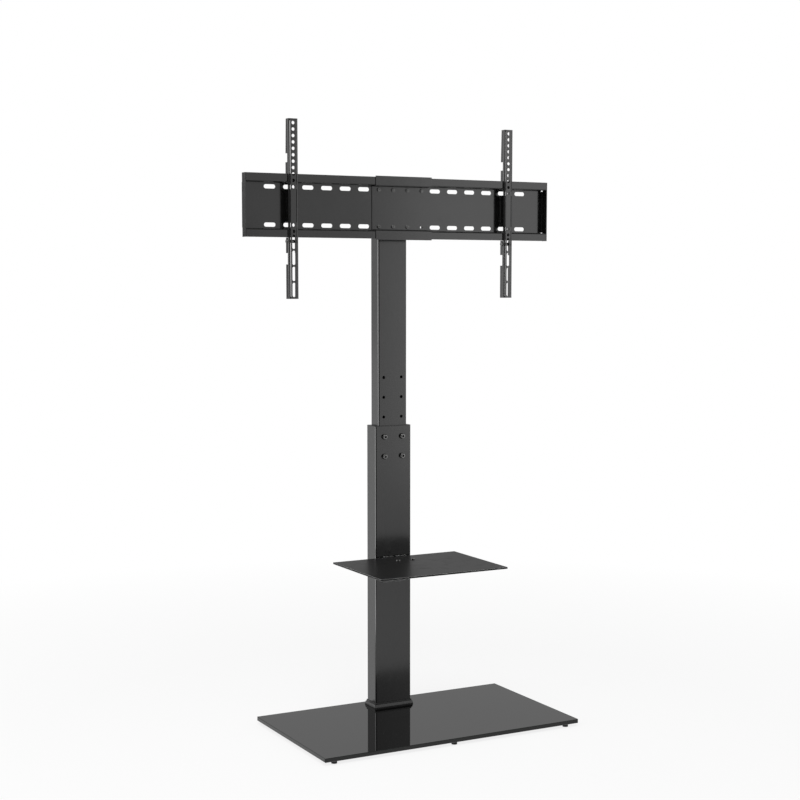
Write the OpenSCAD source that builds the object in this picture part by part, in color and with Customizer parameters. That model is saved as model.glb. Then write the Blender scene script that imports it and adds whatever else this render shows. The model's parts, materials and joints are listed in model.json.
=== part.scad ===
// Floor stand for a flat screen: a glass foot, a rectangular column in two lengths,
// a small shelf, and a wide slotted head with two arms that hook over it.
// +Z is up and the front faces -Y. The origin is on the floor under the middle of the glass.

/* [Glass foot] */
// Width of the glass
glass_w = 700; // [600:10:800]
// Depth of the glass
glass_d = 400; // [360:10:500]
// Thickness of the glass
glass_t = 10; // [8:1:12]
// Corner radius of the glass seen from above
glass_r = 4; // [2:0.5:12]
// Width of the polished bevel along the edges of the glass
glass_bevel = 1; // [0.5:0.1:1.5]
// Height of the rubber feet
foot_h = 8; // [7.5:0.5:12]
// Diameter of a rubber foot
foot_dia = 14; // [10:1:16]
// Distance from a foot's centre to the side edge of the glass
foot_in_x = 30; // [20:1:60]
// Distance from a foot's centre to the front or back edge of the glass
foot_in_y = 15; // [10:1:16]
// Distance from the column's centre line to the back edge of the glass
column_in = 48; // [48:1:90]

/* [Fixings under the glass] */
// Width of the steel plate under the glass
under_w = 200; // [140:5:240]
// Depth of the steel plate under the glass
under_d = 48; // [44:1:49]
// Thickness of the steel plate under the glass
under_t = 2; // [1.5:0.5:2]
// Corner radius of the steel plate under the glass
under_r = 10; // [4:1:20]
// Thickness of the rubber pads above and below the glass
pad_t = 1; // [0.5:0.25:1]
// Thickness of the steel block inside the foot of the column
block_t = 8; // [6:1:12]
// Diameter of the base bolts
base_bolt_dia = 8; // [6:1:8]
// Distance between the base bolts from side to side
base_bolt_pitch_x = 64; // [40:2:70]
// Distance between the base bolts from front to back
base_bolt_pitch_y = 18; // [14:1:22]
// Head diameter of the base bolts
base_head_dia = 14; // [12:1:14]
// Head height of the base bolts
base_head_h = 2.6; // [2:0.1:2.8]
// Thickness of the washers under the base bolt heads
base_washer_t = 1; // [0.6:0.1:1]
// Diameter of the washers under the base bolt heads
base_washer_dia = 16; // [15:0.5:17]

/* [Collar] */
// Height of the trim collar around the foot of the column
collar_h = 13; // [10:0.5:18]
// Wall of the thin neck at the top of the collar
neck_t = 1; // [0.8:0.1:1.5]
// Height of the thin neck above the ledge of the collar
neck_h = 4; // [2:0.5:6]
// Width of the ledge around the neck of the collar
collar_rim = 1.5; // [1:0.25:2]
// How far the foot of the collar stands out from the column
collar_out = 4.5; // [4:0.5:10]
// Height of the upright edge at the foot of the collar
collar_edge = 3; // [2:0.5:5]

/* [Lower tube] */
// Width of the lower tube
lower_w = 102; // [98:1:110]
// Depth of the lower tube
lower_d = 48; // [48:0.5:52]
// Wall of the lower tube
lower_wall = 2; // [1.5:0.25:2]
// Outer corner radius of the lower tube
lower_r = 4; // [3:0.5:6]
// Height of the top of the lower tube above its upper row of height screws
lower_over = 26; // [24:1:80]
// Thickness of the guide's rim on top of the lower tube
guide_rim_t = 2; // [1.5:0.5:4]
// Depth of the guide inside the lower tube
guide_depth = 18; // [12:1:20]

/* [Upper tube] */
// Width of the upper tube
mast_w = 81; // [74:1:83]
// Depth of the upper tube
mast_d = 41; // [36:0.5:41]
// Wall of the upper tube
mast_wall = 2; // [1.5:0.25:2.5]
// Outer corner radius of the upper tube
mast_r = 4; // [3:0.5:6]
// Height of the top of the upper tube above the middle of the head
mast_over = 58; // [56:1:60]
// Length of the upper tube below its lowest height holes
mast_tail = 75; // [45:1:90]
// Thickness of the top cap outside the upper tube
cap_t = 3; // [2:0.5:4]
// Depth of a plastic plug inside the upper tube
plug_depth = 25; // [15:1:30]
// Height of the glide below the upper tube
glide_h = 10; // [6:1:12]

/* [Height setting] */
// Diameter of the height screws
height_dia = 8; // [6:0.5:8]
// Distance between height holes, one step of the setting
height_pitch = 50; // [40:1:55]
// Height of the lower row of height screws above the floor
height_row = 665; // [650:1:672]
// Distance between the two columns of height holes
height_span = 50; // [40:1:52]
// Number of spare rows of height holes above the screws
spare_rows = 3; // [2:1:3]
// Head diameter of the height screws
height_head_dia = 14; // [12:0.5:16]
// Head height of the height screws
height_head_h = 7; // [3:0.25:8]
// Width across flats of the nuts welded in the upper tube
weld_nut_af = 13; // [12:0.5:15]
// Thickness of the nuts welded in the upper tube
weld_nut_t = 6.5; // [5:0.5:9]

/* [Shelf] */
// Width of the shelf
shelf_w = 350; // [250:5:450]
// Depth of the shelf
shelf_d = 262; // [180:2:300]
// Thickness of the shelf
shelf_t = 4; // [3:0.5:6]
// Corner radius of the shelf
shelf_r = 2; // [1:0.5:15]
// Height of the top of the shelf above the floor
shelf_top = 408; // [300:1:560]
// Gap between the lower tube and the back edge of the shelf
shelf_gap = 8.5; // [7:0.5:22]
// Sheet thickness of the shelf bracket
bracket_t = 3; // [2:0.25:4]
// Width of the shelf bracket
bracket_w = 64; // [56:1:80]
// Width of the slot down the middle of the shelf bracket
bracket_slot = 8; // [5:0.5:10]
// Height of the bracket's legs below the shelf's underside
bracket_leg = 61; // [54:1:80]
// Reach of the bracket under the shelf from the lower tube
bracket_reach = 84; // [78:1:108]
// Height of the small stops of the bracket above the shelf
bracket_stop_h = 2; // [1:0.5:6]
// Gap between the shelf's back edge and the small stops of the bracket
stop_gap = 1; // [0.5:0.25:2]
// Thickness of the small stops of the bracket
bracket_stop_t = 2; // [1.5:0.25:2.5]
// Diameter of the shelf and bracket screws
small_dia = 6; // [5:0.5:6]
// Head diameter of the shelf and bracket screws
small_head_dia = 11; // [10:0.5:12]
// Head height of the shelf and bracket screws
small_head_h = 3.2; // [2.5:0.1:4]
// Distance between the shelf screws
shelf_screw_pitch = 41; // [38:1:44]
// Distance from the lower tube to the shelf screws
shelf_screw_out = 66; // [55:1:70]
// Distance from the bracket's lower edge to the lower bracket screws
leg_screw_low = 14; // [10:1:18]
// Distance between the upper and lower bracket screws
leg_screw_pitch = 28; // [20:1:32]
// Thickness of the small nuts
small_nut_t = 5; // [4:0.5:6]
// Width across flats of the small nuts
small_nut_af = 10; // [9:0.5:11]

/* [Swivel] */
// Distance from the column's centre line to the swivel axis
swivel_out = 39; // [39:0.5:44]
// Diameter of the swivel bolt
swivel_dia = 10; // [8:0.5:11]
// Radius of the round ends of the ears
ear_r = 13; // [12:0.5:14]
// Gap between the tips of the mast's ears and the plate behind the channels
ear_tip_gap = 1.2; // [0.6:0.1:2]
// Thickness of the swivel plates and their ears
ear_t = 4; // [3:0.25:4.5]
// Height of the top of the upper mast ear above the middle of the head
ear_half = 34; // [28:1:36]
// Thickness of the swivel washers
swivel_washer_t = 2; // [1:0.25:3]
// Diameter of the swivel washers
swivel_washer_dia = 22; // [20:0.5:24]
// Head height of the swivel bolt
swivel_head_h = 6.4; // [5:0.2:8]
// Width across flats of the swivel nut
swivel_nut_af = 17; // [15:0.5:18]
// Thickness of the swivel nut
swivel_nut_t = 8; // [6:0.5:9]
// Width of the swivel plate on the upper tube
yoke_w = 68; // [60:1:70]
// Height of the swivel plate on the upper tube
yoke_h = 96; // [90:1:100]
// Distance between the swivel plate's screws from side to side
yoke_screw_x = 48; // [40:1:52]
// Distance between the swivel plate's screws from top to bottom
yoke_screw_z = 40; // [30:1:44]

/* [Head] */
// Height of the middle of the head above the floor
head_z = 1285; // [1270:1:1288]
// Overall width of the head
head_w = 843; // [815:1:890]
// Sheet thickness of the channels and arms
sheet_t = 2; // [1.5:0.25:2]
// Inside radius of the sheet bends
bend_r = 1.5; // [1:0.25:2]
// Depth of the channels from back to front
channel_d = 22.8; // [20:0.2:24]
// Height of the channel between the outer faces of its flanges
channel_h = 114; // [112:1:116]
// Overall height of the channel over its lips
lips_h = 150; // [148:1:152]
// Gap between the two channels behind the sleeve
channel_gap = 1; // [0.5:0.5:3]
// Gap between an end plate and the ends of the flanges and lips
end_gap = 0.5; // [0.3:0.1:1]
// Size of the relief notches at the root of an end plate
end_relief = 2; // [1:0.25:3]
// Length of an end plate's narrow root past its bend
end_root = 0.7; // [0.5:0.1:2]
// Length of a slot in the channels
slot_l = 30; // [24:1:34]
// Width of a slot in the channels
slot_w = 10; // [8:0.5:10]
// Distance between neighbouring slots
slot_pitch = 50; // [48:1:52]
// Distance from the middle of the head to the first slot
slot_first = 100; // [98:1:102]
// Number of slots in each row of a channel
slot_count = 6; // [4:1:6]
// Distance between the two rows of slots and of splice screws
pair_height = 90; // [86:1:92]
// Width of the sleeve over the middle of the channels
sleeve_w = 156; // [150:1:158]
// How far the sleeve's lips stand past the channel's lips
sleeve_over = 2.5; // [1:0.5:5]
// Width of the plate behind the channels
backer_w = 140; // [136:1:148]
// Height of the plate behind the channels
backer_h = 105; // [102:1:107]
// Distance from the middle of the head to the inner splice screws
splice_inner = 20; // [18:0.5:24]
// Distance from the middle of the head to the outer splice screws
splice_outer = 60; // [54:1:60]
// Diameter of the splice screws
splice_dia = 5; // [4:0.5:6]
// Head diameter of the splice screws
splice_head_dia = 9.5; // [8:0.5:10]
// Head height of the splice screws
splice_head_h = 2.6; // [2:0.1:3]
// Thickness of the nuts on the splice screws
splice_nut_t = 4; // [3:0.5:5]
// Width across flats of the nuts on the splice screws
splice_nut_af = 8; // [7:0.5:8.5]
// Diameter of the open hole in the lower right of the sleeve
open_hole_dia = 7; // [6:0.5:8]

/* [Arms] */
// Distance between the two arms, a standard screen hole spacing
arm_span = 600; // [550:10:620]
// Length of an arm
arm_l = 425; // [422:1:430]
// Height of the top of an arm above the middle of the head
arm_over = 204; // [202:1:206]
// Width of an arm
arm_w = 25; // [25:0.5:28]
// Depth of an arm from its front face to the back of its flanges
arm_d = 18; // [17:0.25:18.5]
// How far the front of an arm stands before the channel's lips
arm_out = 6; // [5.5:0.25:7]
// Length over which the back of the flanges leans in near the top
taper_l = 100; // [80:5:110]
// How much shallower the flanges are at the top
taper_in = 3; // [1:0.5:4]
// Diameter of the round holes in an arm
arm_hole_dia = 8; // [6:0.5:8.5]
// Distance from the top of an arm to its first hole
arm_hole_first = 10; // [8:0.5:12]
// Distance between the round holes of an arm
arm_hole_pitch = 15; // [14:0.5:15.5]
// Number of round holes in the upper row of an arm
arm_hole_count = 11; // [8:1:11]
// Distance from the bottom of an arm to its first slot's centre
arm_slot_first = 21.5; // [20:0.5:24]
// Distance between the slots of an arm
arm_slot_pitch = 38; // [36:0.5:40]
// Length of a slot of an arm
arm_slot_l = 34; // [26:1:34]
// Number of slots in an arm
arm_slot_count = 4; // [3:1:4]
// Distance from the bottom of an arm to the lower of its two middle holes
arm_mid_hole = 160; // [158:1:163]
// Width of the middle strip of an arm, between its two long slits
strip_w = 14.2; // [13:0.2:14.6]
// Width of the long slits of an arm
slit_w = 1.7; // [0.8:0.1:1.7]
// Metal left at each end of the long slits of an arm
slit_end = 5; // [4:0.5:8]
// Depth of the notches in the back of an arm's flanges
notch_d = 10; // [6:0.5:10]
// Distance from the top of an arm to its upper notch
notch_top_at = 81; // [78:1:84]
// Height of the upper notch
notch_top_h = 21; // [18:1:24]
// Distance from the bottom of an arm to its lower notch
notch_low_at = 82; // [80:1:84]
// Height of the lower notch
notch_low_h = 27; // [24:1:30]
// Length of the hook behind the upper lip
hook_l = 12; // [8:1:14]
// Diameter of the lock screw of an arm
lock_dia = 8; // [6:0.5:8]
// Head diameter of the lock screw of an arm
lock_head_dia = 10; // [9:0.5:11]
// Head height of the lock screw of an arm
lock_head_h = 4; // [3:0.25:5]
// Distance from the lower lips of the channels down to the lock screw
lock_drop = 9.3; // [8.5:0.1:11]

/* [Clearances] */
// Gap between pieces that slide or turn against each other
run_gap = 0.3; // [0.2:0.05:0.4]
// Radial gap between a screw and the hole it passes through
hole_gap = 0.25; // [0.1:0.05:0.4]
// Radial gap that stands for the thread of a screw in a nut or tapped hole
thread_gap = 0.05; // [0.02:0.01:0.1]
// Radial running gap of the swivel bolt in the mast ears
swivel_gap = 0.08; // [0.02:0.01:0.1]

/* [Hidden] */
$fn = 48;
// Overrun of every cut past the face it starts from
cut = 1;
// Outline of a domed screw head: shares of the head's radius and of its height
dome_r_shares = [1, 1, 0.94, 0.82, 0.64];
dome_h_shares = [0, 0.45, 0.78, 0.94, 1];
// Width and depth of a screw's hexagon socket as shares of its head
socket_w_share = 0.42;
socket_d_share = 0.6;
// How far a screw runs past the nut it holds
screw_proud = 1.5;
// Corner radius of the swivel plates
plate_r = 4;
// Angle between the flats of a hexagon, halved
hex_half = 30;

column_y = glass_d / 2 - column_in;
glass_top = foot_h + glass_t;
tube_foot = glass_top + pad_t;
lower_in_w = lower_w - 2 * lower_wall;
lower_in_d = lower_d - 2 * lower_wall;
lower_in_r = lower_r - lower_wall;
lower_front = column_y - lower_d / 2;
lower_top = height_row + height_pitch + lower_over;
mast_in_w = mast_w - 2 * mast_wall;
mast_in_d = mast_d - 2 * mast_wall;
mast_in_r = mast_r - mast_wall;
mast_top = head_z + mast_over;
mast_foot = height_row - mast_tail;
mast_len = mast_top - mast_foot;
mast_front = column_y - mast_d / 2;
under_top = foot_h - pad_t;
under_bottom = under_top - under_t;
base_head_top = under_bottom - base_washer_t;
shelf_under = shelf_top - shelf_t;
shelf_back = lower_front - shelf_gap;
bracket_z = shelf_under - bracket_t;
leg_foot = shelf_under - bracket_leg;
leg_w = (bracket_w - bracket_slot) / 2;
leg_x = (bracket_slot + leg_w) / 2;
swivel_y = column_y - swivel_out;
yoke_front = mast_front - ear_t;
backer_back = swivel_y - ear_r - ear_tip_gap;
backer_front = backer_back - ear_t;
web_back = backer_front;
web_front = web_back - sheet_t;
lip_front = web_back - channel_d;
lip_back = lip_front + sheet_t;
flange_out = channel_h / 2;
lip_out = lips_h / 2;
end_inner = head_w / 2 - sheet_t;
arm_front = lip_front - arm_out;
arm_back = arm_front + arm_d;
arm_top = head_z + arm_over;
arm_foot = arm_top - arm_l;
arm_in_w = arm_w - 2 * sheet_t;
lock_z = head_z - lip_out - lock_drop;
lock_y = arm_front + arm_d / 2;

// Rectangle with round corners, centred on the origin
module round_rect(w, d, r) {
    square([w - 2 * r, d], center = true);
    square([w, d - 2 * r], center = true);
    for (sx = [-1, 1], sy = [-1, 1])
        translate([sx * (w / 2 - r), sy * (d / 2 - r)]) circle(r = r);
}

// Upright plate with round corners, its middle at the origin, from y = 0 back to y = t
module upright_plate(w, h, t, r) {
    rotate([90, 0, 0]) translate([0, 0, -t]) linear_extrude(t) round_rect(w, h, r);
}

// Slot along X, centred on the origin
module slot(l, w) {
    square([l - w, w], center = true);
    for (s = [-1, 1]) translate([s * (l - w) / 2, 0]) circle(d = w);
}

// Quarter ring of a sheet bend, in the quarter where both coordinates are positive
module bend(t, r) {
    intersection() {
        difference() {
            circle(r = r + t);
            circle(r = r);
        }
        square(r + t);
    }
}

// Screw with a domed head on z = 0 and its shank below
module dome_screw(dia, len, head_dia, head_h) {
    tip = dia / 8;
    head = [for (i = [0 : len(dome_r_shares) - 1])
        [dome_r_shares[i] * head_dia / 2, dome_h_shares[i] * head_h]];
    difference() {
        rotate_extrude()
            polygon(concat([[0, -len], [dia / 2 - tip, -len], [dia / 2, tip - len], [dia / 2, 0]],
                head, [[0, head_h]]));
        translate([0, 0, head_h * (1 - socket_d_share)])
            cylinder(d = socket_w_share * head_dia / cos(hex_half), h = head_h + cut, $fn = 6);
    }
}

// Nut on z = 0 with its thickness upwards
module hex_nut(af, t, dia) {
    difference() {
        cylinder(d = af / cos(hex_half), h = t, $fn = 6);
        translate([0, 0, -cut]) cylinder(d = dia + 2 * thread_gap, h = t + 2 * cut);
    }
}

// Round hole along Y through everything between y0 and y1
module hole_y(x, z, dia, y0, y1) {
    translate([x, y1, z]) rotate([90, 0, 0]) cylinder(d = dia, h = y1 - y0);
}

// Four places around the column for the base bolts
module at_base_bolts() {
    for (sx = [-1, 1], sy = [-1, 1])
        translate([sx * base_bolt_pitch_x / 2, column_y + sy * base_bolt_pitch_y / 2, 0])
            children();
}

// Glass with bevelled edges: three outlines, one along each axis, in common
module base_glass() {
    color("#101214") difference() {
        intersection() {
            translate([0, 0, foot_h]) linear_extrude(glass_t) round_rect(glass_w, glass_d, glass_r);
            translate([-glass_w / 2, 0, glass_top - glass_t / 2]) rotate([90, 0, 90])
                linear_extrude(glass_w) bevelled(glass_d, glass_t, glass_bevel);
            translate([0, glass_d / 2, glass_top - glass_t / 2]) rotate([90, 0, 0])
                linear_extrude(glass_d) bevelled(glass_w, glass_t, glass_bevel);
        }
        at_base_bolts() translate([0, 0, foot_h - cut])
            cylinder(d = base_bolt_dia + 4 * hole_gap, h = glass_t + 2 * cut);
    }
}

// Rectangle with its four corners cut off
module bevelled(w, h, b) {
    polygon([
        [-w / 2, b - h / 2], [b - w / 2, -h / 2], [w / 2 - b, -h / 2], [w / 2, b - h / 2],
        [w / 2, h / 2 - b], [w / 2 - b, h / 2], [b - w / 2, h / 2], [-w / 2, h / 2 - b]
    ]);
}

module glass_feet() {
    foot_x = glass_w / 2 - foot_in_x;
    foot_y = glass_d / 2 - foot_in_y;
    color("#0a0a0a") for (x = [-foot_x, 0, foot_x], y = [-foot_y, foot_y])
        translate([x, y, 0]) cylinder(d = foot_dia, h = foot_h);
}

module under_pad() {
    color("#181818") difference() {
        translate([0, column_y, under_top]) linear_extrude(pad_t)
            round_rect(under_w, under_d, under_r);
        at_base_bolts() translate([0, 0, under_top - cut])
            cylinder(d = base_bolt_dia + 2 * hole_gap, h = pad_t + 2 * cut);
    }
}

module under_plate() {
    color("#3a3c3e") difference() {
        translate([0, column_y, under_bottom]) linear_extrude(under_t)
            round_rect(under_w, under_d, under_r);
        at_base_bolts() translate([0, 0, under_bottom - cut])
            cylinder(d = base_bolt_dia + 2 * hole_gap, h = under_t + 2 * cut);
    }
}

module base_washers() {
    color("#8a8d90") at_base_bolts() translate([0, 0, base_head_top]) difference() {
        cylinder(d = base_washer_dia, h = base_washer_t);
        translate([0, 0, -cut])
            cylinder(d = base_bolt_dia + 2 * hole_gap, h = base_washer_t + 2 * cut);
    }
}

module base_bolts() {
    color("#75787a") at_base_bolts() translate([0, 0, base_head_top]) mirror([0, 0, 1])
        dome_screw(base_bolt_dia, tube_foot + block_t - base_head_top, base_head_dia, base_head_h);
}

module column_gasket() {
    color("#151515") difference() {
        translate([0, column_y, glass_top]) linear_extrude(pad_t)
            round_rect(lower_w, lower_d, lower_r);
        at_base_bolts() translate([0, 0, glass_top - cut])
            cylinder(d = base_bolt_dia + 2 * hole_gap, h = pad_t + 2 * cut);
    }
}

module foot_block() {
    color("#4a4c4e") difference() {
        translate([0, column_y, tube_foot]) linear_extrude(block_t)
            round_rect(lower_in_w, lower_in_d, lower_in_r);
        at_base_bolts() translate([0, 0, tube_foot - cut])
            cylinder(d = base_bolt_dia + 2 * thread_gap, h = block_t + 2 * cut);
    }
}

// Side view of the collar: upright edge, a slope in to the ledge, and the neck above it
module collar_outline(size) {
    half_neck = size / 2 + run_gap + neck_t;
    half_ledge = half_neck + collar_rim;
    half_foot = size / 2 + collar_out;
    ledge = collar_h - neck_h;
    polygon([
        [-half_foot, 0], [half_foot, 0], [half_foot, collar_edge], [half_ledge, ledge],
        [half_neck, ledge], [half_neck, collar_h], [-half_neck, collar_h],
        [-half_neck, ledge], [-half_ledge, ledge], [-half_foot, collar_edge]
    ]);
}

module column_collar() {
    reach_w = lower_w + 4 * collar_out;
    reach_d = lower_d + 4 * collar_out;
    color("#141414") translate([0, column_y, glass_top]) difference() {
        intersection() {
            translate([0, reach_d / 2, 0]) rotate([90, 0, 0]) linear_extrude(reach_d)
                collar_outline(lower_w);
            translate([-reach_w / 2, 0, 0]) rotate([90, 0, 90]) linear_extrude(reach_w)
                collar_outline(lower_d);
        }
        translate([0, 0, -cut]) linear_extrude(collar_h + 2 * cut)
            round_rect(lower_w + 2 * run_gap, lower_d + 2 * run_gap, lower_r + run_gap);
    }
}

module lower_tube() {
    color("#4c4c4c") difference() {
        translate([0, column_y, tube_foot]) linear_extrude(lower_top - tube_foot) difference() {
            round_rect(lower_w, lower_d, lower_r);
            round_rect(lower_in_w, lower_in_d, lower_in_r);
        }
        for (sx = [-1, 1], row = [0, 1])
            hole_y(sx * height_span / 2, height_row + row * height_pitch,
                height_dia + 2 * hole_gap, lower_front - cut, lower_front + lower_wall + cut);
        for (sx = [-1, 1], row = [0, 1])
            hole_y(sx * leg_x, leg_foot + leg_screw_low + row * leg_screw_pitch,
                small_dia + 2 * hole_gap, lower_front - cut, lower_front + lower_wall + cut);
    }
}

module top_guide() {
    color("#1a1a1a") difference() {
        union() {
            translate([0, column_y, lower_top]) linear_extrude(guide_rim_t)
                round_rect(lower_w, lower_d, lower_r);
            translate([0, column_y, lower_top - guide_depth]) linear_extrude(guide_depth)
                round_rect(lower_in_w, lower_in_d, lower_in_r);
        }
        translate([0, column_y, lower_top - guide_depth - cut])
            linear_extrude(guide_depth + guide_rim_t + 2 * cut)
                round_rect(mast_w + 2 * run_gap, mast_d + 2 * run_gap, mast_r + run_gap);
    }
}

module height_screws() {
    reach = mast_front - lower_front - run_gap;
    color("#2a2a2a") for (sx = [-1, 1], row = [0, 1])
        translate([sx * height_span / 2, lower_front, height_row + row * height_pitch])
            rotate([90, 0, 0]) dome_screw(height_dia, reach, height_head_dia, height_head_h);
}

// Sheet bracket with two legs on the tube, a shelf rest, and two stops behind the shelf
module shelf_bracket() {
    stop_y = shelf_back + stop_gap;
    color("#333333") difference() {
        union() {
            translate([-bracket_w / 2, lower_front - bracket_t, leg_foot])
                cube([bracket_w, bracket_t, bracket_leg]);
            translate([-bracket_w / 2, lower_front - bracket_reach, bracket_z])
                cube([bracket_w, bracket_reach, bracket_t]);
            for (sx = [-1, 1]) translate([sx * leg_x - leg_w / 2, stop_y, bracket_z])
                cube([leg_w, bracket_stop_t, bracket_t + shelf_t + bracket_stop_h]);
        }
        translate([-bracket_slot / 2, shelf_back, leg_foot - cut])
            cube([bracket_slot, shelf_gap + cut, bracket_leg + 2 * cut]);
        for (sx = [-1, 1], row = [0, 1])
            hole_y(sx * leg_x, leg_foot + leg_screw_low + row * leg_screw_pitch,
                small_dia + 2 * hole_gap, lower_front - bracket_t - cut, lower_front + cut);
        for (sx = [-1, 1])
            translate([sx * shelf_screw_pitch / 2, lower_front - shelf_screw_out, bracket_z - cut])
                cylinder(d = small_dia + 2 * hole_gap, h = bracket_t + 2 * cut);
    }
}

module bracket_screws() {
    reach = bracket_t + lower_wall + small_nut_t + screw_proud;
    color("#2a2a2a") for (sx = [-1, 1], row = [0, 1])
        translate([sx * leg_x, lower_front - bracket_t,
            leg_foot + leg_screw_low + row * leg_screw_pitch])
            rotate([90, 0, 0]) dome_screw(small_dia, reach, small_head_dia, small_head_h);
}

module bracket_nuts() {
    color("#8a8d90") for (sx = [-1, 1], row = [0, 1])
        translate([sx * leg_x, lower_front + lower_wall,
            leg_foot + leg_screw_low + row * leg_screw_pitch])
            rotate([-90, 0, 0]) hex_nut(small_nut_af, small_nut_t, small_dia);
}

module shelf_plate() {
    color("#525252") difference() {
        translate([0, shelf_back - shelf_d / 2, shelf_under]) linear_extrude(shelf_t)
            round_rect(shelf_w, shelf_d, shelf_r);
        for (sx = [-1, 1])
            translate([sx * shelf_screw_pitch / 2, lower_front - shelf_screw_out,
                shelf_under - cut])
                cylinder(d = small_dia + 2 * hole_gap, h = shelf_t + 2 * cut);
    }
}

module shelf_screws() {
    reach = shelf_t + bracket_t + small_nut_t + screw_proud;
    color("#2a2a2a") for (sx = [-1, 1])
        translate([sx * shelf_screw_pitch / 2, lower_front - shelf_screw_out, shelf_top])
            dome_screw(small_dia, reach, small_head_dia, small_head_h);
}

module shelf_nuts() {
    color("#8a8d90") for (sx = [-1, 1])
        translate([sx * shelf_screw_pitch / 2, lower_front - shelf_screw_out,
            bracket_z - small_nut_t])
            hex_nut(small_nut_af, small_nut_t, small_dia);
}

module upper_tube() {
    color("#4c4c4c") difference() {
        translate([0, column_y, mast_foot]) linear_extrude(mast_len) difference() {
            round_rect(mast_w, mast_d, mast_r);
            round_rect(mast_in_w, mast_in_d, mast_in_r);
        }
        for (sx = [-1, 1], row = [0 : spare_rows + 1])
            hole_y(sx * height_span / 2, height_row + row * height_pitch,
                height_dia + 2 * thread_gap, mast_front - cut, mast_front + mast_wall + cut);
        at_yoke_screws() cylinder(d = small_dia + 2 * hole_gap, h = 2 * (ear_t + mast_wall) + 2 * cut,
            center = true);
    }
}

// Nuts inside the upper tube, one behind each height hole
module weld_nuts() {
    color("#7a7d80") for (sx = [-1, 1], row = [0 : spare_rows + 1])
        translate([sx * height_span / 2, mast_front + mast_wall, height_row + row * height_pitch])
            rotate([-90, 0, 0]) hex_nut(weld_nut_af, weld_nut_t, height_dia);
}

module mast_glide() {
    color("#1a1a1a") translate([0, column_y, mast_foot]) {
        translate([0, 0, -glide_h]) linear_extrude(glide_h)
            round_rect(lower_in_w - 2 * run_gap, lower_in_d - 2 * run_gap, lower_in_r);
        linear_extrude(plug_depth) round_rect(mast_in_w, mast_in_d, mast_in_r);
    }
}

module mast_top_cap() {
    color("#1a1a1a") translate([0, column_y, mast_top]) {
        linear_extrude(cap_t) round_rect(mast_w, mast_d, mast_r);
        translate([0, 0, -plug_depth]) linear_extrude(plug_depth)
            round_rect(mast_in_w, mast_in_d, mast_in_r);
    }
}

// Four places on the front face of the swivel plate, pointing forward
module at_yoke_screws() {
    for (sx = [-1, 1], sz = [-1, 1])
        translate([sx * yoke_screw_x / 2, yoke_front, head_z + sz * yoke_screw_z / 2])
            rotate([90, 0, 0]) children();
}

// Ear of the swivel: round end on the axis and a straight root to the plate at reach
module ear(reach) {
    linear_extrude(ear_t) difference() {
        union() {
            circle(r = ear_r);
            translate([-ear_r, min(0, reach)]) square([2 * ear_r, abs(reach)]);
        }
        circle(d = swivel_dia + 2 * swivel_gap);
    }
}

module swivel_yoke() {
    color("#2e2e2e") difference() {
        union() {
            translate([0, yoke_front, head_z]) upright_plate(yoke_w, yoke_h, ear_t, plate_r);
            for (z = [-ear_half - ear_t, ear_half - ear_t])
                translate([0, swivel_y, head_z + z]) ear(yoke_front + ear_t / 2 - swivel_y);
        }
        at_yoke_screws() cylinder(d = small_dia + 2 * hole_gap, h = 2 * ear_t + 2 * cut,
            center = true);
    }
}

module yoke_screws() {
    reach = ear_t + mast_wall + small_nut_t + screw_proud;
    color("#2a2a2a") at_yoke_screws() dome_screw(small_dia, reach, small_head_dia, small_head_h);
}

module yoke_nuts() {
    color("#8a8d90") at_yoke_screws() translate([0, 0, -ear_t - mast_wall - small_nut_t])
        hex_nut(small_nut_af, small_nut_t, small_dia);
}

module swivel_washers() {
    color("#202020") for (z = [-ear_half, ear_half]) translate([0, swivel_y, head_z + z])
        difference() {
            cylinder(d = swivel_washer_dia, h = swivel_washer_t);
            translate([0, 0, -cut])
                cylinder(d = swivel_dia + 2 * swivel_gap, h = swivel_washer_t + 2 * cut);
        }
}

module swivel_bolt() {
    seat = ear_half + swivel_washer_t + run_gap + ear_t;
    below = ear_half + ear_t + run_gap + swivel_nut_t + screw_proud;
    color("#303030") translate([0, swivel_y, head_z + seat]) {
        cylinder(d = swivel_nut_af / cos(hex_half), h = swivel_head_h, $fn = 6);
        translate([0, 0, -seat - below]) cylinder(d = swivel_dia, h = seat + below);
    }
}

module swivel_nut() {
    color("#303030") translate([0, swivel_y, head_z - ear_half - ear_t - run_gap - swivel_nut_t])
        hex_nut(swivel_nut_af, swivel_nut_t, swivel_dia);
}

// Every place of a splice screw, and the one in the lower right that holds none
module at_splices(open = false) {
    for (x = [-splice_outer, -splice_inner, splice_inner, splice_outer], sz = [-1, 1])
        if ((x == splice_outer && sz == -1) == open)
            translate([x, web_front - sheet_t, head_z + sz * pair_height / 2])
                rotate([90, 0, 0]) children();
}

// Holes of the splice through all the sheets
module splice_holes() {
    through = 2 * (2 * sheet_t + ear_t + cut);
    at_splices() cylinder(d = splice_dia + 2 * hole_gap, h = through, center = true);
    at_splices(true) cylinder(d = open_hole_dia, h = through, center = true);
}

module head_backer() {
    color("#2e2e2e") difference() {
        union() {
            translate([0, backer_front, head_z]) upright_plate(backer_w, backer_h, ear_t, plate_r);
            for (z = [-ear_half, ear_half])
                translate([0, swivel_y, head_z + z + swivel_washer_t + run_gap])
                    ear(backer_back - ear_t / 2 - swivel_y);
        }
        splice_holes();
    }
}

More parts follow.
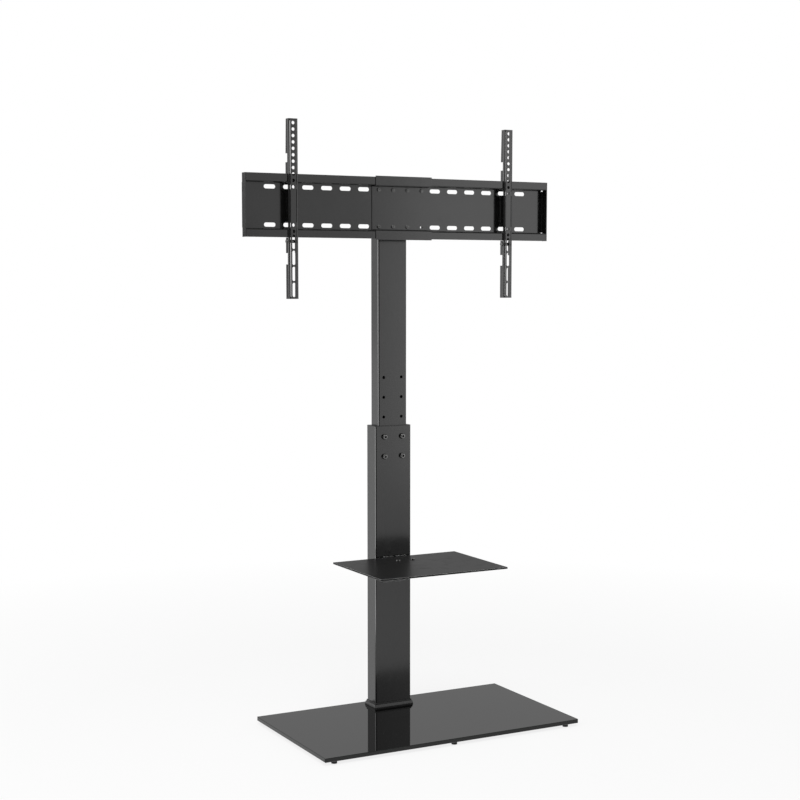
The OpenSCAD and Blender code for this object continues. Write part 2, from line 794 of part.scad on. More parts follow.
// Half of the section of a hat-shaped channel: web, flange and lip, back face on x = 0
module half_hat(depth, flange, lip) {
    square([sheet_t, flange - sheet_t - bend_r]);
    translate([sheet_t + bend_r, flange - sheet_t - bend_r]) rotate([0, 0, 90])
        bend(sheet_t, bend_r);
    translate([sheet_t + bend_r, flange - sheet_t])
        square([depth - 2 * (sheet_t + bend_r), sheet_t]);
    translate([depth - sheet_t - bend_r, flange + bend_r]) rotate([0, 0, -90])
        bend(sheet_t, bend_r);
    translate([depth - sheet_t, flange + bend_r]) square([sheet_t, lip - flange - bend_r]);
}

// Hat-shaped channel from x = 0 to x = len, its back face on y = 0 and its mouth towards -Y
module hat(len, depth, flange, lip) {
    rotate([90, 0, 90]) linear_extrude(len) mirror([1, 0]) {
        half_hat(depth, flange, lip);
        mirror([0, 1]) half_hat(depth, flange, lip);
    }
}

// Channel of the right side, with an end plate that is bent forward from its web
module channel() {
    len = end_inner - end_gap - channel_gap / 2;
    bend_start = end_inner - bend_r;
    bend_front = web_front - bend_r;
    root_half = flange_out - sheet_t - end_relief;
    wide_back = bend_front - end_root;
    difference() {
        union() {
            difference() {
                translate([channel_gap / 2, web_back, head_z])
                    hat(len, channel_d, flange_out, lip_out);
                translate([bend_start - end_relief, bend_front, head_z - lip_out])
                    cube([sheet_t + bend_r + end_relief, sheet_t + bend_r + cut, lips_h]);
            }
            translate([0, 0, head_z - root_half]) linear_extrude(2 * root_half) {
                translate([bend_start - 2 * end_relief, web_front])
                    square([2 * end_relief, sheet_t]);
                translate([bend_start, bend_front]) bend(sheet_t, bend_r);
                translate([end_inner, wide_back - end_root]) square([sheet_t, 2 * end_root]);
            }
            translate([end_inner, lip_front, head_z - lip_out])
                cube([sheet_t, wide_back - lip_front, lips_h]);
        }
        for (i = [0 : slot_count - 1], sz = [-1, 1])
            translate([slot_first + i * slot_pitch, web_back + cut, head_z + sz * pair_height / 2])
                rotate([90, 0, 0]) linear_extrude(sheet_t + 2 * cut) slot(slot_l, slot_w);
        splice_holes();
    }
}

module left_channel() {
    color("#4a4a4a") difference() {
        mirror([1, 0, 0]) channel();
        splice_holes();
    }
}

module right_channel() {
    color("#4a4a4a") channel();
}

module centre_sleeve() {
    color("#484848") difference() {
        translate([-sleeve_w / 2, web_front, head_z])
            hat(sleeve_w, channel_d, flange_out - sheet_t, lip_out + sleeve_over);
        splice_holes();
    }
}

module splice_screws() {
    reach = 2 * sheet_t + ear_t + splice_nut_t + screw_proud;
    color("#2a2a2a") at_splices() dome_screw(splice_dia, reach, splice_head_dia, splice_head_h);
}

module splice_nuts() {
    color("#8a8d90") at_splices() translate([0, 0, -2 * sheet_t - ear_t - splice_nut_t])
        hex_nut(splice_nut_af, splice_nut_t, splice_dia);
}

// Half of the section of an arm, its front face on y = 0
module half_arm() {
    square([arm_w / 2 - sheet_t - bend_r, sheet_t]);
    translate([arm_w / 2 - sheet_t - bend_r, sheet_t + bend_r]) rotate([0, 0, -90])
        bend(sheet_t, bend_r);
    translate([arm_w / 2 - sheet_t, sheet_t + bend_r]) square([sheet_t, arm_d - sheet_t - bend_r]);
}

// Side view of what is cut from an arm's flanges: y from the arm's back face, z from the floor
module flange_cuts() {
    lip_top = head_z + lip_out;
    rest = lip_front - run_gap - arm_back;
    hook_front = lip_back + run_gap - arm_back;
    trough = flange_out - sheet_t;
    lift = hook_l + 2 * sheet_t;
    translate([rest, head_z + trough - lift])
        square([cut - rest, lip_top - hook_l - head_z - trough + lift]);
    translate([rest, lip_top - hook_l - cut]) square([hook_front - rest, hook_l + run_gap + cut]);
    translate([rest, head_z - lip_out - run_gap])
        square([cut - rest, lip_out - trough + lift + run_gap]);
    translate([-notch_d, arm_top - notch_top_at - notch_top_h])
        square([notch_d + cut, notch_top_h]);
    translate([-notch_d, arm_foot + notch_low_at]) square([notch_d + cut, notch_low_h]);
    polygon([[0, arm_top - taper_l], [cut, arm_top - taper_l], [cut, arm_top + cut],
        [-taper_in, arm_top + cut], [-taper_in, arm_top]]);
}

// One arm at x = 0
module arm() {
    slit_x = strip_w / 2;
    difference() {
        translate([0, arm_front, arm_foot]) linear_extrude(arm_l) {
            half_arm();
            mirror([1, 0]) half_arm();
        }
        translate([-arm_w / 2 - cut, arm_back, 0]) rotate([90, 0, 90])
            linear_extrude(arm_w + 2 * cut) flange_cuts();
        for (sx = [-1, 1]) translate([sx * (slit_x + slit_w / 2), 0, 0])
            translate([-slit_w / 2, arm_front - cut, arm_foot + slit_end])
                cube([slit_w, sheet_t + 2 * cut, arm_l - 2 * slit_end]);
        for (i = [0 : arm_hole_count - 1])
            hole_y(0, arm_top - arm_hole_first - i * arm_hole_pitch, arm_hole_dia,
                arm_front - cut, arm_front + sheet_t + cut);
        for (i = [0, 1])
            hole_y(0, arm_foot + arm_mid_hole + i * arm_hole_pitch, arm_hole_dia,
                arm_front - cut, arm_front + sheet_t + cut);
        for (i = [0 : arm_slot_count - 1])
            translate([0, arm_front + sheet_t + cut, arm_foot + arm_slot_first + i * arm_slot_pitch])
                rotate([90, 90, 0]) linear_extrude(sheet_t + 2 * cut)
                    slot(arm_slot_l, arm_hole_dia);
        translate([-arm_w / 2 - cut, lock_y, lock_z]) rotate([0, 90, 0])
            cylinder(d = lock_dia + 2 * thread_gap, h = arm_w + 2 * cut);
    }
}

// Lock screw across one arm at x = 0, in the tapped holes of both flanges
module lock_screw() {
    translate([-arm_w / 2, lock_y, lock_z]) rotate([0, -90, 0])
        dome_screw(lock_dia, arm_w, lock_head_dia, lock_head_h);
}

module left_arm() {
    color("#3c3c3c") translate([-arm_span / 2, 0, 0]) arm();
}

module left_lock_screw() {
    color("#2a2a2a") translate([-arm_span / 2, 0, 0]) lock_screw();
}

module right_arm() {
    color("#3c3c3c") translate([arm_span / 2, 0, 0]) arm();
}

module right_lock_screw() {
    color("#2a2a2a") translate([arm_span / 2, 0, 0]) lock_screw();
}

base_glass();
glass_feet();
under_pad();
under_plate();
base_washers();
base_bolts();
column_gasket();
foot_block();
column_collar();
lower_tube();
top_guide();
height_screws();
shelf_bracket();
bracket_screws();
bracket_nuts();
shelf_plate();
shelf_screws();
shelf_nuts();
upper_tube();
weld_nuts();
mast_glide();
mast_top_cap();
swivel_yoke();
yoke_screws();
yoke_nuts();
swivel_washers();
swivel_bolt();
swivel_nut();
head_backer();
left_channel();
right_channel();
centre_sleeve();
splice_screws();
splice_nuts();
left_arm();
left_lock_screw();
right_arm();
right_lock_screw();
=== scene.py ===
import json
import math
import bpy
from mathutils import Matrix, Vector


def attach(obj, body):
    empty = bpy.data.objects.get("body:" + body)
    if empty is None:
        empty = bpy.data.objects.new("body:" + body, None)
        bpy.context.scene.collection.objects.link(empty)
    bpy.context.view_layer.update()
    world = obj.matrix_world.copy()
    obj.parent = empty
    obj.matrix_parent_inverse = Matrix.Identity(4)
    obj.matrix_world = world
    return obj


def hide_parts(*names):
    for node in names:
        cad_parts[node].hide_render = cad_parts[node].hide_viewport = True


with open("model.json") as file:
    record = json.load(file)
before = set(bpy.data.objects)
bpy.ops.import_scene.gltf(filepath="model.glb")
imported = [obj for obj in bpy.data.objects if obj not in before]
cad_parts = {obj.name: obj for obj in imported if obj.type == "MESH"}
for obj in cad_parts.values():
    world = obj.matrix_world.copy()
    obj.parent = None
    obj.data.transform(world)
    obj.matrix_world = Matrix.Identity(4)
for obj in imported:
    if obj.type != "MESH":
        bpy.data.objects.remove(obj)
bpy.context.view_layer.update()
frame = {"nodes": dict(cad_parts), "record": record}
nodes = frame["nodes"]
bodyOf = {node: body for body, members in frame["record"]["behaviour"]["bodies"].items() for node in members}
slotOf = {part["node"]: part["material_slot"] for part in frame["record"]["subparts"]}
print("frame loaded:", len(nodes), "nodes")


# a shader socket that does arithmetic: each sum adds its Math node to the tree
class Wire:
    def __init__(self, socket):
        self.socket = socket
        self.tree = socket.id_data

    # any other node: its kind, its settings, what goes in, and which output comes back
    def add(self, kind, settings, inputs, out=0):
        node = self.tree.nodes.new(kind)
        for key, value in settings.items():
            setattr(node, key, value)
        for key, value in inputs.items():
            if isinstance(value, Wire):
                self.tree.links.new(value.socket, node.inputs[key])
            else:
                node.inputs[key].default_value = value
        return Wire(node.outputs[out])

    def math(self, operation, left, right):
        return self.add("ShaderNodeMath", {"operation": operation}, {0: left, 1: right})

    def __add__(self, other):
        return self.math("ADD", self, other)

    def __radd__(self, other):
        return self.math("ADD", other, self)

    def __sub__(self, other):
        return self.math("SUBTRACT", self, other)

    def __rsub__(self, other):
        return self.math("SUBTRACT", other, self)

    def __mul__(self, other):
        return self.math("MULTIPLY", self, other)

    # 0 below low, 1 above high
    def ramp(self, low, high):
        limits = {"Value": self, "From Min": low, "From Max": high}
        return self.add("ShaderNodeMapRange", {"clamp": True}, limits)

    # colour between two tones by this mask: dark at 0, light at 1
    def blend(self, dark, light):
        return self.add("ShaderNodeMix", {"data_type": "RGBA"}, {0: self, 6: dark, 7: light}, 2)

    # how far this direction runs along another
    def dot(self, other):
        return self.add("ShaderNodeVectorMath", {"operation": "DOT_PRODUCT"}, {0: self, 1: other}, "Value")

    def axis(self, name):
        return self.add("ShaderNodeSeparateXYZ", {}, {0: self}, name)

    # a normal that stands up by this height
    def bump(self, strength, distance):
        return self.add("ShaderNodeBump", {}, {"Strength": strength, "Distance": distance, "Height": self}, 0)


def greyTone(value, warm=0.0):
    return (value * (1 + warm), value, value * (1 - warm), 1.0)


# an empty material with its shader, and the Object coordinates to start from
def startMaterial(name):
    material = bpy.data.materials.new(name)
    material.use_nodes = True
    shader = material.node_tree.nodes["Principled BSDF"]
    coords = material.node_tree.nodes.new("ShaderNodeTexCoord")
    return material, shader, Wire(coords.outputs["Object"])


def feed(shader, name, wire):
    wire.tree.links.new(wire.socket, shader.inputs[name])


def noise(coords, scale, detail=2.0, rough=0.5, stretch=None):
    place = coords
    if stretch:
        place = coords.add("ShaderNodeMapping", {}, {"Vector": coords, "Scale": stretch}, 0)
    settings = {"Vector": place, "Scale": scale, "Detail": detail, "Roughness": rough}
    return coords.add("ShaderNodeTexNoise", {}, settings, 0)


edgeLook = {"samples": 4, "turnFrom": 0.02, "turnTo": 0.3}


# how sharply the surface turns here: 1 on an edge, 0 on a flat
def edgeMask(coords, radius):
    soft = coords.add("ShaderNodeBevel", {"samples": edgeLook["samples"]}, {"Radius": radius}, 0)
    plain = coords.add("ShaderNodeNewGeometry", {}, {}, "Normal")
    return (1 - soft.dot(plain)).ramp(edgeLook["turnFrom"], edgeLook["turnTo"])


# tone and rough of the paint, depth of its orange peel, tone of its pale edges (partly rubbed paint, partly a
# painted highlight), and from where they show
coatFinish = {
    "column_paint": {"tone": 0.0060, "rough": 0.15, "peel": 0.05, "edge": 0.07, "rubAndHighlightFrom": 0.30, "shine": 0.60},
    # the shelf's and bracket's edge tone of 0.90 is a painted highlight: nearly white colour for the light
    # line their rounded edges catch
    "shelf_paint": {"tone": 0.0050, "rough": 0.30, "peel": 0.04, "edge": 0.90, "rubAndHighlightFrom": 0.02, "shine": 0.09},
    "bracket_paint": {"tone": 0.0040, "rough": 0.24, "peel": 0.08, "edge": 0.90, "rubAndHighlightFrom": 0.02, "shine": 0.60},
    "head_paint": {"tone": 0.0045, "rough": 0.15, "peel": 0.04, "edge": 0.06, "rubAndHighlightFrom": 0.30, "shine": 0.60},
    "arm_paint": {"tone": 0.0045, "rough": 0.16, "peel": 0.05, "edge": 0.07, "rubAndHighlightFrom": 0.30, "shine": 0.66},
}
coatGrain = {
    "clouds": {"scale": 5.0, "detail": 3.0},
    "flecks": {"scale": 1400.0, "detail": 2.0, "rough": 0.6},
    "touched": {"scale": 38.0, "detail": 5.0, "rough": 0.62},
    "patches": {"scale": 70.0, "detail": 3.0},
    "peel": {"scale": 620.0, "detail": 2.0, "rough": 0.45},
    "touchedFrom": 0.52, "touchedTo": 0.78, "touchedCover": 0.3, "touchedTone": 1.7, "touchedWarm": 0.015,
    "cloudShare": 0.65, "bodyFrom": 0.25, "bodyTo": 0.75,
    "darkTone": 0.82, "lightTone": 1.2, "lightWarm": 0.01,
    "edgeRadius": 0.0012, "rubAndHighlightSpan": 0.32, "paleEdgeCover": 0.8,
    "cloudRough": 0.10, "touchedRough": 0.07, "fleckRough": 0.08, "peelDistance": 0.0004, "fleckPeel": 0.25,
}
middle = 0.5  # the middle of a noise, taken off where it shifts a roughness both ways


# satin powder coat: orange peel, slow clouds in the tone, fine flecks, and paler edges that are partly rubbed
# paint and partly a painted highlight
def powderCoat(name, look):
    grain = coatGrain
    material, shader, coords = startMaterial(name)
    clouds = noise(coords, **grain["clouds"])
    flecks = noise(coords, **grain["flecks"])
    touched = noise(coords, **grain["touched"]).ramp(grain["touchedFrom"], grain["touchedTo"])
    patches = noise(coords, **grain["patches"]).ramp(look["rubAndHighlightFrom"], look["rubAndHighlightFrom"] + grain["rubAndHighlightSpan"])
    edges = edgeMask(coords, grain["edgeRadius"]) * patches
    body = clouds * grain["cloudShare"] + flecks * (1 - grain["cloudShare"])
    dark = greyTone(look["tone"] * grain["darkTone"])
    light = greyTone(look["tone"] * grain["lightTone"], grain["lightWarm"])
    colour = body.ramp(grain["bodyFrom"], grain["bodyTo"]).blend(dark, light)
    dust = greyTone(look["tone"] * grain["touchedTone"], grain["touchedWarm"])
    dusty = (touched * grain["touchedCover"]).blend(colour, dust)
    # pale edge colour: partly rubbed paint, partly a painted highlight along every turn of the surface
    feed(shader, "Base Color", (edges * grain["paleEdgeCover"]).blend(dusty, greyTone(look["edge"])))
    cloudy = look["rough"] + (clouds - middle) * grain["cloudRough"]
    speckled = (flecks - middle) * grain["fleckRough"]
    feed(shader, "Roughness", cloudy + touched * grain["touchedRough"] + speckled)
    peel = noise(coords, **grain["peel"])
    feed(shader, "Normal", (peel + flecks * grain["fleckPeel"]).bump(look["peel"], grain["peelDistance"]))
    shader.inputs["Specular IOR Level"].default_value = look["shine"]
    return material


glassFinish = {
    "tone": 0.0035, "rough": 0.025, "bevelTone": (0.07, 0.085, 0.08, 1.0), "ior": 1.40,
    "wiped": {"scale": 5.0, "detail": 4.0, "rough": 0.6, "stretch": (1.0, 3.4, 1.0)},
    "dust": {"scale": 420.0, "detail": 3.0, "rough": 0.7},
    "sag": {"scale": 2.2, "detail": 1.0},
    "wipedFrom": 0.45, "wipedTo": 0.75, "dustFrom": 0.68, "dustTo": 0.80, "dustTone": 3.5,
    "edgeRadius": 0.0014, "edgeCover": 0.7,
    "wipedRough": 0.03, "dustRough": 0.2, "edgeRough": 0.15, "sagStrength": 0.04, "sagDistance": 0.001,
}


# black glass: a mirror-smooth face with faint wiping marks and dust, paler on the ground bevel
def blackGlass(name, look):
    material, shader, coords = startMaterial(name)
    wiped = noise(coords, **look["wiped"]).ramp(look["wipedFrom"], look["wipedTo"])
    dust = noise(coords, **look["dust"]).ramp(look["dustFrom"], look["dustTo"])
    edges = edgeMask(coords, look["edgeRadius"])
    base = dust.blend(greyTone(look["tone"]), greyTone(look["tone"] * look["dustTone"]))
    feed(shader, "Base Color", (edges * look["edgeCover"]).blend(base, look["bevelTone"]))
    marks = wiped * look["wipedRough"]
    feed(shader, "Roughness", look["rough"] + marks + dust * look["dustRough"] + edges * look["edgeRough"])
    sag = noise(coords, **look["sag"])
    feed(shader, "Normal", sag.bump(look["sagStrength"], look["sagDistance"]))
    shader.inputs["IOR"].default_value = look["ior"]
    return material


metalFinish = {
    "screw_black": {"tone": 0.100, "bright": 0.160, "rough": 0.16, "metal": 1.0},
    "zinc": {"tone": 0.42, "bright": 0.60, "rough": 0.32, "metal": 1.0},
    "zinc_plate": {"tone": 0.20, "bright": 0.30, "rough": 0.42, "metal": 0.9},
}
metalGrain = {
    "drawn": {"scale": 300.0, "detail": 3.0, "rough": 0.6, "stretch": (1.0, 1.0, 8.0)},
    "mottle": {"scale": 90.0, "detail": 4.0, "rough": 0.55},
    "mottleShare": 0.6, "bodyFrom": 0.3, "bodyTo": 0.7, "warm": 0.01,
    "edgeRadius": 0.0006, "paleEdgeCover": 0.6, "rubTone": 1.5,
    # how far, how finely and how dark the painted shade in sockets and under heads reaches
    "recessShadeReach": 0.004, "recessShadeSamples": 8, "recessShadeFrom": 0.45, "recessShadeTo": 0.85, "recessShadeTone": 0.06,
    "mottleRough": 0.2, "drawnStrength": 0.08, "drawnDistance": 0.0002,
}


# plated or blackened steel: drawn lines, mottling, paler edges, and painted shade deep in the sockets and
# where the heads meet other parts
def platedSteel(name, look):
    grain = metalGrain
    material, shader, coords = startMaterial(name)
    drawn = noise(coords, **grain["drawn"])
    mottle = noise(coords, **grain["mottle"])
    edges = edgeMask(coords, grain["edgeRadius"])
    body = mottle * grain["mottleShare"] + drawn * (1 - grain["mottleShare"])
    bright = greyTone(look["bright"], grain["warm"])
    colour = body.ramp(grain["bodyFrom"], grain["bodyTo"]).blend(greyTone(look["tone"]), bright)
    rubbed = (edges * grain["paleEdgeCover"]).blend(colour, greyTone(look["bright"] * grain["rubTone"]))
    # painted shade: the colour goes dark where ambient occlusion finds the surface closed in, in sockets and
    # under screw heads
    nearby = {"samples": grain["recessShadeSamples"], "only_local": True}
    openness = coords.add("ShaderNodeAmbientOcclusion", nearby, {"Distance": grain["recessShadeReach"]}, "AO")
    recessShadeColour = greyTone(look["tone"] * grain["recessShadeTone"])
    feed(shader, "Base Color", openness.ramp(grain["recessShadeFrom"], grain["recessShadeTo"]).blend(recessShadeColour, rubbed))
    feed(shader, "Roughness", look["rough"] + (mottle - middle) * grain["mottleRough"])
    feed(shader, "Normal", drawn.bump(grain["drawnStrength"], grain["drawnDistance"]))
    shader.inputs["Metallic"].default_value = look["metal"]
    return material


mouldFinish = {
    "plastic_black": {"tone": 0.004, "bright": 0.008, "rough": 0.24, "grain": 800.0, "depth": 0.10},
    "rubber": {"tone": 0.010, "bright": 0.020, "rough": 0.72, "grain": 500.0, "depth": 0.3},
}
mouldGrain = {
    "dust": {"scale": 60.0, "detail": 5.0, "rough": 0.65},
    "dustFrom": 0.5, "dustTo": 0.8, "dustShare": 0.7, "warm": 0.01,
    "dustRough": 0.12, "grainMiddle": 0.4, "grainRough": 0.1, "grainDistance": 0.0003,
}


# moulded plastic or rubber: fine spark-eroded grain and a little dust
def mouldedSkin(name, look):
    material, shader, coords = startMaterial(name)
    grain = coords.add("ShaderNodeTexVoronoi", {}, {"Vector": coords, "Scale": look["grain"]}, 0)
    dust = noise(coords, **mouldGrain["dust"]).ramp(mouldGrain["dustFrom"], mouldGrain["dustTo"])
    body = dust * mouldGrain["dustShare"] + grain * (1 - mouldGrain["dustShare"])
    colour = body.blend(greyTone(look["tone"]), greyTone(look["bright"], mouldGrain["warm"]))
    feed(shader, "Base Color", colour)
    dusty = look["rough"] + dust * mouldGrain["dustRough"]
    feed(shader, "Roughness", dusty + (grain - mouldGrain["grainMiddle"]) * mouldGrain["grainRough"])
    feed(shader, "Normal", grain.bump(look["depth"], mouldGrain["grainDistance"]))
    return material


finishes = {name: powderCoat(name, look) for name, look in coatFinish.items()}
finishes["glass_black"] = blackGlass("glass_black", glassFinish)
finishes.update({name: platedSteel(name, look) for name, look in metalFinish.items()})
finishes.update({name: mouldedSkin(name, look) for name, look in mouldFinish.items()})
for name, item in nodes.items():
    for slot in item.material_slots:
        slot.material = finishes[slotOf[name]]
print("materials made:", len(finishes))


def pickOnly(item):
    bpy.ops.object.select_all(action="DESELECT")
    item.select_set(True)
    bpy.context.view_layer.objects.active = item


# distances in metres, turns in degrees
roundingPlan = {
    "mergeWithin": 0.000002, "flatWithin": 0.4,
    "segments": 2, "roundPast": 28.0, "smoothUpTo": 60.0, "weight": 100,
}


# a finished stand-in for a CAD node: same solid, with its edges really rounded
def roundedTwin(node, label, width):
    plan = roundingPlan
    twin = nodes[node].copy()
    twin.data = nodes[node].data.copy()
    twin.name = label
    bpy.context.scene.collection.objects.link(twin)
    pickOnly(twin)
    bpy.ops.object.mode_set(mode="EDIT")
    bpy.ops.mesh.select_all(action="SELECT")
    bpy.ops.mesh.remove_doubles(threshold=plan["mergeWithin"])
    bpy.ops.mesh.dissolve_limited(angle_limit=math.radians(plan["flatWithin"]))
    bpy.ops.object.mode_set(mode="OBJECT")
    rounding = twin.modifiers.new("edgeRounding", "BEVEL")
    rounding.width = width
    rounding.segments = plan["segments"]
    rounding.limit_method = "ANGLE"
    rounding.angle_limit = math.radians(plan["roundPast"])
    rounding.use_clamp_overlap = True
    bpy.ops.object.modifier_apply(modifier=rounding.name)
    bpy.ops.object.shade_smooth_by_angle(angle=math.radians(plan["smoothUpTo"]))
    flats = twin.modifiers.new("flatFaces", "WEIGHTED_NORMAL")
    flats.mode = "FACE_AREA"
    flats.weight = plan["weight"]
    flats.keep_sharp = True
    bpy.ops.object.modifier_apply(modifier=flats.name)
    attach(twin, bodyOf[node])
    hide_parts(node)
    return twin


roundedPieces = {
    "base_glass": {"label": "glassFoot", "width": 0.0003},
    "shelf_plate": {"label": "shelfTray", "width": 0.0006},
    "centre_sleeve": {"label": "headSleeve", "width": 0.0004},
    "left_channel": {"label": "leftHeadChannel", "width": 0.0004},
    "right_channel": {"label": "rightHeadChannel", "width": 0.0004},
    "left_arm": {"label": "leftScreenArm", "width": 0.0004},
    "right_arm": {"label": "rightScreenArm", "width": 0.0004},
    "column_collar": {"label": "footCollar", "width": 0.0004},
    "shelf_bracket": {"label": "shelfHolder", "width": 0.0005},
    "lower_tube": {"label": "lowerColumn", "width": 0.0004},
    "upper_tube": {"label": "upperColumn", "width": 0.0004},
    "top_guide": {"label": "guideBush", "width": 0.0004},
    "mast_top_cap": {"label": "columnCap", "width": 0.0005},
    "swivel_yoke": {"label": "swivelCheeks", "width": 0.0004},
    "head_backer": {"label": "headBackPlate", "width": 0.0004},
    "height_screws": {"label": "heightScrews", "width": 0.0003},
    "splice_screws": {"label": "spliceScrews", "width": 0.00025},
    "shelf_screws": {"label": "trayScrews", "width": 0.0003},
    "bracket_screws": {"label": "holderScrews", "width": 0.0003},
    "left_lock_screw": {"label": "leftArmLock", "width": 0.0003},
    "right_lock_screw": {"label": "rightArmLock", "width": 0.0003},
}
twins = {node: roundedTwin(node, look["label"], look["width"]) for node, look in roundedPieces.items()}
print("rounded pieces made:", len(roundedPieces))

# the floor takes the object's shadow, turns white further out, and is white wherever it is mirrored
floorPlan = {"size": 40.0, "tone": 0.86, "rough": 0.9, "whiteNear": 0.83, "fadeFrom": 0.9, "fadeTo": 2.4}
bpy.ops.object.select_all(action="DESELECT")
bpy.ops.mesh.primitive_plane_add(size=floorPlan["size"], location=(0, 0, 0))
floor = bpy.context.object
floor.name = "studioFloor"
floorPaint, floorShader, floorCoords = startMaterial("studioFloor")
floorShader.inputs["Base Color"].default_value = greyTone(floorPlan["tone"])
floorShader.inputs["Roughness"].default_value = floorPlan["rough"]
floorShader.inputs["Specular IOR Level"].default_value = 0.0
distance = floorCoords.add("ShaderNodeVectorMath", {"operation": "LENGTH"}, {0: floorCoords}, "Value")
farShare = distance.ramp(floorPlan["fadeFrom"], floorPlan["fadeTo"]) * (1 - floorPlan["whiteNear"])
glow = floorCoords.add("ShaderNodeEmission", {}, {"Color": (1, 1, 1, 1), "Strength": 1.0}, 0)
cameraRays = floorCoords.add("ShaderNodeLightPath", {}, {}, "Is Camera Ray")
mirrorRays = floorCoords.add("ShaderNodeLightPath", {}, {}, "Is Glossy Ray")
whiteShare = cameraRays * (floorPlan["whiteNear"] + farShare) + mirrorRays
shades = {0: whiteShare, 1: Wire(floorShader.outputs[0]), 2: glow}
mixed = floorCoords.add("ShaderNodeMixShader", {}, shades, 0)
floorTree = floorPaint.node_tree
floorTree.links.new(mixed.socket, floorTree.nodes["Material Output"].inputs["Surface"])
floor.data.materials.append(floorPaint)

# a black card at the front left that only mirrored rays see: it darkens the column's front left corner
cardPlan = {"at": (-0.595, -0.94, 0.66), "width": 1.56, "height": 1.24, "toward": (-0.05, 0.13, 0.66)}
bpy.ops.mesh.primitive_plane_add(size=1.0, location=cardPlan["at"])
card = bpy.context.object
card.name = "blackCard"
card.scale = (cardPlan["width"], cardPlan["height"], 1.0)
cardFacing = Vector(cardPlan["toward"]) - Vector(cardPlan["at"])
card.rotation_euler = cardFacing.to_track_quat("Z", "Y").to_euler()
cardPaint, cardShader = startMaterial("blackCard")[:2]
cardShader.inputs["Base Color"].default_value = greyTone(0.0)
cardShader.inputs["Specular IOR Level"].default_value = 0.0
card.data.materials.append(cardPaint)
card.visible_camera = False
card.visible_diffuse = False
card.visible_transmission = False
card.visible_shadow = False

# tones and directions of the room that paint and glass mirror; each pair is where a part begins and is full
roomPlan = {
    "lowTone": 0.185, "highTone": 0.75, "paleHeight": (0.0, 0.40), "behind": (0.10, 0.40),
    "rightward": (0.899, 0.438, 0.0), "rightSide": (-0.05, 0.05),
    "stripToward": (-0.883, 0.469, 0.0), "stripWidth": (0.89, 0.95), "stripTone": 4.0,
    "leftSide": (0.05, 0.33), "high": (0.30, 0.55), "front": (-0.35, -0.10), "frontTone": 0.05,
    "openTone": 1.0, "unseenTone": 0.42,
}
world = bpy.data.worlds.new("studioWorld")
bpy.context.scene.world = world
world.use_nodes = True
sky = world.node_tree.nodes["Background"]
heading = Wire(world.node_tree.nodes.new("ShaderNodeTexCoord").outputs["Generated"])
direct = heading.add("ShaderNodeLightPath", {}, {}, "Is Camera Ray")
glossy = heading.add("ShaderNodeLightPath", {}, {}, "Is Glossy Ray")
through = heading.add("ShaderNodeLightPath", {}, {}, "Is Transmission Ray")
seen = (direct + glossy + through).ramp(0.0, 1.0)
across, along, upward = heading.axis("X"), heading.axis("Y"), heading.axis("Z")
# the room behind the stand, on the right, is dim near the floor and paler higher up
height = upward.ramp(*roomPlan["paleHeight"])
dimRoom = height.blend(greyTone(roomPlan["lowTone"]), greyTone(roomPlan["highTone"]))
backRight = heading.dot(roomPlan["rightward"]).ramp(*roomPlan["rightSide"]) * along.ramp(*roomPlan["behind"])
dimmed = (backRight * glossy).blend(greyTone(roomPlan["openTone"]), dimRoom)
# a narrow bright strip stands at the back left, and the front left and the upper front are dark
strip = heading.dot(roomPlan["stripToward"]).ramp(*roomPlan["stripWidth"]) * glossy
lined = strip.blend(dimmed, greyTone(roomPlan["stripTone"]))
leftOrHigh = glossy.math("MAXIMUM", 1 - across.ramp(*roomPlan["leftSide"]), upward.ramp(*roomPlan["high"]))
frontDark = leftOrHigh * (1 - along.ramp(*roomPlan["front"])) * glossy
shaded = frontDark.blend(lined, greyTone(roomPlan["frontTone"]))
tint = seen.blend(greyTone(roomPlan["unseenTone"]), shaded)
world.node_tree.links.new(tint.socket, sky.inputs["Color"])
sky.inputs["Strength"].default_value = 1.0

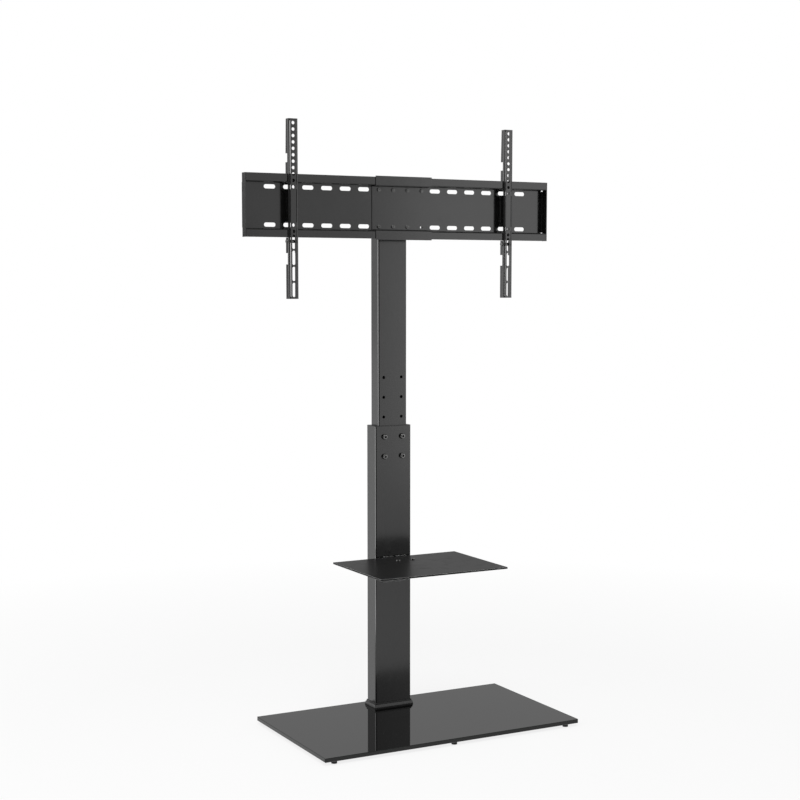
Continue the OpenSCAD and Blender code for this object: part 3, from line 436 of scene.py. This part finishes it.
# the tall panel shows in the paint, the overhead one along the edges, and the side one brightens the floor;
# the corner one lights nothing but the column, whose front left corner mirrors it as a bright line
softboxes = {
    "tallPanel": {"at": (3.1, -3.0, 1.1), "size": (2.7, 2.8), "power": 19.5, "mirrored": True},
    "overheadPanel": {"at": (-0.9, -1.2, 3.6), "size": (2.4, 2.4), "power": 70.0, "mirrored": True},
    "sidePanel": {"at": (-3.4, -0.6, 1.8), "size": (2.0, 2.0), "power": 30.0, "mirrored": False},
    "cornerPanel": {"at": (-1.04, 0.05, 0.65), "size": (1.0, 1.3), "power": 18.0, "mirrored": True,
                    "only": ("lower_tube", "upper_tube")},
}
panelAim = Vector((0, 0, 0.9))
for label, box in softboxes.items():
    lamp = bpy.data.lights.new(label, "AREA")
    lamp.shape = "RECTANGLE"
    lamp.size, lamp.size_y = box["size"]
    lamp.energy = box["power"]
    holder = bpy.data.objects.new(label, lamp)
    holder.location = box["at"]
    holder.rotation_euler = (panelAim - Vector(box["at"])).to_track_quat("-Z", "Y").to_euler()
    holder.visible_glossy = box["mirrored"]
    if "only" in box:
        holder.visible_camera = False
        receivers = bpy.data.collections.new(label)
        for node in box["only"]:
            receivers.objects.link(twins[node])
        holder.light_linking.receiver_collection = receivers
    bpy.context.scene.collection.objects.link(holder)

# the camera stands where the photograph was taken, its turn in degrees
cameraPlan = {
    "sensorMm": 36.0, "lensMm": 70.70, "eye": (-1.85226, -3.37297, 1.10344), "turn": (84.45, 0.0, -28.13),
    "shiftUp": 0.04375, "sight": 200.0,
}
eye = bpy.data.cameras.new("photoCamera")
eye.sensor_fit = "HORIZONTAL"
eye.sensor_width = cameraPlan["sensorMm"]
eye.lens = cameraPlan["lensMm"]
eye.shift_y = cameraPlan["shiftUp"]
eye.clip_end = cameraPlan["sight"]
camera = bpy.data.objects.new("photoCamera", eye)
camera.location = cameraPlan["eye"]
camera.rotation_euler = [math.radians(angle) for angle in cameraPlan["turn"]]
bpy.context.scene.collection.objects.link(camera)
bpy.context.scene.camera = camera
bpy.context.scene.view_settings.view_transform = "Standard"
print("stage set")
